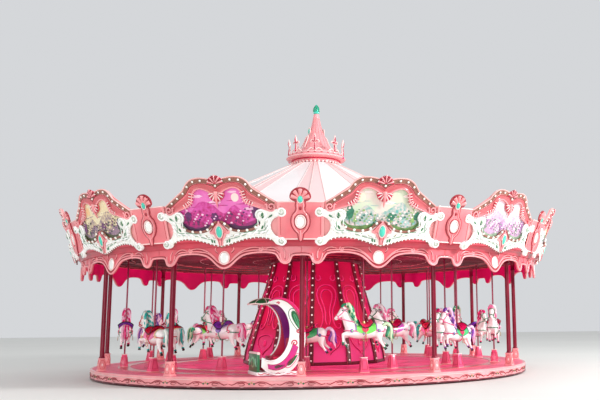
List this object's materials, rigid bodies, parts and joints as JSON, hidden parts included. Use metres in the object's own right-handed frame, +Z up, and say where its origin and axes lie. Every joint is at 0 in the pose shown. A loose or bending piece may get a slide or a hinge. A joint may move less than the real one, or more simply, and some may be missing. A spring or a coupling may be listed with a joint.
{
  "type": "fairground carousel",
  "caption": "Fairground carousel: a turning platform with horses on poles and two crescent seats under a ridged roof with a painted cornice.",
  "frame": {"origin": "on the ground at the centre of the turntable", "axes": "+Z up; a pilaster of the cornice stands on -Y"},
  "size_m": [13.104, 13.104, 7.5253],
  "materials": {
    "base_steel": "satin dark grey paint",
    "frame_steel": "satin dark red paint",
    "roof_skin": "satin white and pale pink panels",
    "ceiling_paint": "satin dark red-brown boards",
    "salmon_gloss": "glossy moulded glass fibre, salmon",
    "green_gloss": "glossy moulded glass fibre, green",
    "picture_paint": "glossy hand-painted panels",
    "channel_paint": "dark channel that holds the lamps",
    "white_gloss": "glossy moulded glass fibre, white",
    "deck_plate": "painted tread plate",
    "crimson_gloss": "glossy crimson panels",
    "maroon_gloss": "glossy maroon strips with lamps",
    "pink_gloss": "glossy hot pink",
    "column_paint": "glossy dark red paint",
    "horse_gloss": "glossy painted glass fibre"
  },
  "bodies": {
    "base": {"base_plate": "base_steel", "centre_column": "base_steel"},
    "turntable": {"sweep_frame": "frame_steel", "roof_cover_01": "roof_skin", "roof_cover_02": "roof_skin", "roof_cover_03": "roof_skin", "roof_cover_04": "roof_skin", "ceiling_boards": "ceiling_paint", "crown": "salmon_gloss", "spire_cone": "salmon_gloss", "spire_finial": "green_gloss", "picture_panels": "picture_paint", "arch_bands": "channel_paint", "scroll_frames": "white_gloss", "cornice_pilasters": "salmon_gloss", "valance": "salmon_gloss", "platform_deck": "deck_plate", "platform_fascia": "salmon_gloss", "drum_panels": "crimson_gloss", "drum_light_strips": "maroon_gloss", "outer_pole_guides": "pink_gloss", "inner_pole_guides": "pink_gloss", "chariot_01": "white_gloss", "chariot_02": "white_gloss", "column_01": "column_paint", "column_02": "column_paint", "column_03": "column_paint", "column_04": "column_paint", "column_05": "column_paint", "column_06": "column_paint", "column_07": "column_paint", "column_08": "column_paint", "column_09": "column_paint", "column_10": "column_paint", "column_11": "column_paint", "column_12": "column_paint"},
    "outer_horse_01": {"outer_horse_01": "horse_gloss"},
    "outer_horse_02": {"outer_horse_02": "horse_gloss"},
    "outer_horse_03": {"outer_horse_03": "horse_gloss"},
    "outer_horse_04": {"outer_horse_04": "horse_gloss"},
    "outer_horse_05": {"outer_horse_05": "horse_gloss"},
    "outer_horse_06": {"outer_horse_06": "horse_gloss"},
    "outer_horse_07": {"outer_horse_07": "horse_gloss"},
    "outer_horse_08": {"outer_horse_08": "horse_gloss"},
    "outer_horse_09": {"outer_horse_09": "horse_gloss"},
    "outer_horse_10": {"outer_horse_10": "horse_gloss"},
    "inner_horse_01": {"inner_horse_01": "horse_gloss"},
    "inner_horse_02": {"inner_horse_02": "horse_gloss"},
    "inner_horse_03": {"inner_horse_03": "horse_gloss"},
    "inner_horse_04": {"inner_horse_04": "horse_gloss"},
    "inner_horse_05": {"inner_horse_05": "horse_gloss"},
    "inner_horse_06": {"inner_horse_06": "horse_gloss"},
    "inner_horse_07": {"inner_horse_07": "horse_gloss"},
    "inner_horse_08": {"inner_horse_08": "horse_gloss"},
    "inner_horse_09": {"inner_horse_09": "horse_gloss"},
    "inner_horse_10": {"inner_horse_10": "horse_gloss"},
    "inner_horse_11": {"inner_horse_11": "horse_gloss"},
    "inner_horse_12": {"inner_horse_12": "horse_gloss"}
  },
  "joints": [
    {"name": "turntable_spin", "type": "hinge", "parent": "base", "child": "turntable", "pos_m": [0, 0, 0], "axis": [0, 0, 1], "continuous": true},
    {"name": "outer_horse_01_lift", "type": "slide", "parent": "turntable", "child": "outer_horse_01", "axis": [0, 0, 1], "range_m": [-0.15, 0.05]},
    {"name": "outer_horse_02_lift", "type": "slide", "parent": "turntable", "child": "outer_horse_02", "axis": [0, 0, 1], "range_m": [-0.05, 0.15]},
    {"name": "outer_horse_03_lift", "type": "slide", "parent": "turntable", "child": "outer_horse_03", "axis": [0, 0, 1], "range_m": [-0.15, 0.05]},
    {"name": "outer_horse_04_lift", "type": "slide", "parent": "turntable", "child": "outer_horse_04", "axis": [0, 0, 1], "range_m": [-0.05, 0.15]},
    {"name": "outer_horse_05_lift", "type": "slide", "parent": "turntable", "child": "outer_horse_05", "axis": [0, 0, 1], "range_m": [-0.15, 0.05]},
    {"name": "outer_horse_06_lift", "type": "slide", "parent": "turntable", "child": "outer_horse_06", "axis": [0, 0, 1], "range_m": [-0.05, 0.15]},
    {"name": "outer_horse_07_lift", "type": "slide", "parent": "turntable", "child": "outer_horse_07", "axis": [0, 0, 1], "range_m": [-0.15, 0.05]},
    {"name": "outer_horse_08_lift", "type": "slide", "parent": "turntable", "child": "outer_horse_08", "axis": [0, 0, 1], "range_m": [-0.05, 0.15]},
    {"name": "outer_horse_09_lift", "type": "slide", "parent": "turntable", "child": "outer_horse_09", "axis": [0, 0, 1], "range_m": [-0.15, 0.05]},
    {"name": "outer_horse_10_lift", "type": "slide", "parent": "turntable", "child": "outer_horse_10", "axis": [0, 0, 1], "range_m": [-0.05, 0.15]},
    {"name": "inner_horse_01_lift", "type": "slide", "parent": "turntable", "child": "inner_horse_01", "axis": [0, 0, 1], "range_m": [-0.05, 0.15]},
    {"name": "inner_horse_02_lift", "type": "slide", "parent": "turntable", "child": "inner_horse_02", "axis": [0, 0, 1], "range_m": [-0.15, 0.05]},
    {"name": "inner_horse_03_lift", "type": "slide", "parent": "turntable", "child": "inner_horse_03", "axis": [0, 0, 1], "range_m": [-0.05, 0.15]},
    {"name": "inner_horse_04_lift", "type": "slide", "parent": "turntable", "child": "inner_horse_04", "axis": [0, 0, 1], "range_m": [-0.15, 0.05]},
    {"name": "inner_horse_05_lift", "type": "slide", "parent": "turntable", "child": "inner_horse_05", "axis": [0, 0, 1], "range_m": [-0.05, 0.15]},
    {"name": "inner_horse_06_lift", "type": "slide", "parent": "turntable", "child": "inner_horse_06", "axis": [0, 0, 1], "range_m": [-0.15, 0.05]},
    {"name": "inner_horse_07_lift", "type": "slide", "parent": "turntable", "child": "inner_horse_07", "axis": [0, 0, 1], "range_m": [-0.05, 0.15]},
    {"name": "inner_horse_08_lift", "type": "slide", "parent": "turntable", "child": "inner_horse_08", "axis": [0, 0, 1], "range_m": [-0.15, 0.05]},
    {"name": "inner_horse_09_lift", "type": "slide", "parent": "turntable", "child": "inner_horse_09", "axis": [0, 0, 1], "range_m": [-0.05, 0.15]},
    {"name": "inner_horse_10_lift", "type": "slide", "parent": "turntable", "child": "inner_horse_10", "axis": [0, 0, 1], "range_m": [-0.15, 0.05]},
    {"name": "inner_horse_11_lift", "type": "slide", "parent": "turntable", "child": "inner_horse_11", "axis": [0, 0, 1], "range_m": [-0.05, 0.15]},
    {"name": "inner_horse_12_lift", "type": "slide", "parent": "turntable", "child": "inner_horse_12", "axis": [0, 0, 1], "range_m": [-0.15, 0.05]}
  ],
  "couplings": [
    {"joint": "outer_horse_02_lift", "follows": "outer_horse_01_lift", "ratio": -1},
    {"joint": "outer_horse_03_lift", "follows": "outer_horse_01_lift", "ratio": 1},
    {"joint": "outer_horse_04_lift", "follows": "outer_horse_01_lift", "ratio": -1},
    {"joint": "outer_horse_05_lift", "follows": "outer_horse_01_lift", "ratio": 1},
    {"joint": "outer_horse_06_lift", "follows": "outer_horse_01_lift", "ratio": -1},
    {"joint": "outer_horse_07_lift", "follows": "outer_horse_01_lift", "ratio": 1},
    {"joint": "outer_horse_08_lift", "follows": "outer_horse_01_lift", "ratio": -1},
    {"joint": "outer_horse_09_lift", "follows": "outer_horse_01_lift", "ratio": 1},
    {"joint": "outer_horse_10_lift", "follows": "outer_horse_01_lift", "ratio": -1},
    {"joint": "inner_horse_01_lift", "follows": "outer_horse_01_lift", "ratio": -1},
    {"joint": "inner_horse_02_lift", "follows": "outer_horse_01_lift", "ratio": 1},
    {"joint": "inner_horse_03_lift", "follows": "outer_horse_01_lift", "ratio": -1},
    {"joint": "inner_horse_04_lift", "follows": "outer_horse_01_lift", "ratio": 1},
    {"joint": "inner_horse_05_lift", "follows": "outer_horse_01_lift", "ratio": -1},
    {"joint": "inner_horse_06_lift", "follows": "outer_horse_01_lift", "ratio": 1},
    {"joint": "inner_horse_07_lift", "follows": "outer_horse_01_lift", "ratio": -1},
    {"joint": "inner_horse_08_lift", "follows": "outer_horse_01_lift", "ratio": 1},
    {"joint": "inner_horse_09_lift", "follows": "outer_horse_01_lift", "ratio": -1},
    {"joint": "inner_horse_10_lift", "follows": "outer_horse_01_lift", "ratio": 1},
    {"joint": "inner_horse_11_lift", "follows": "outer_horse_01_lift", "ratio": -1},
    {"joint": "inner_horse_12_lift", "follows": "outer_horse_01_lift", "ratio": 1}
  ]
}
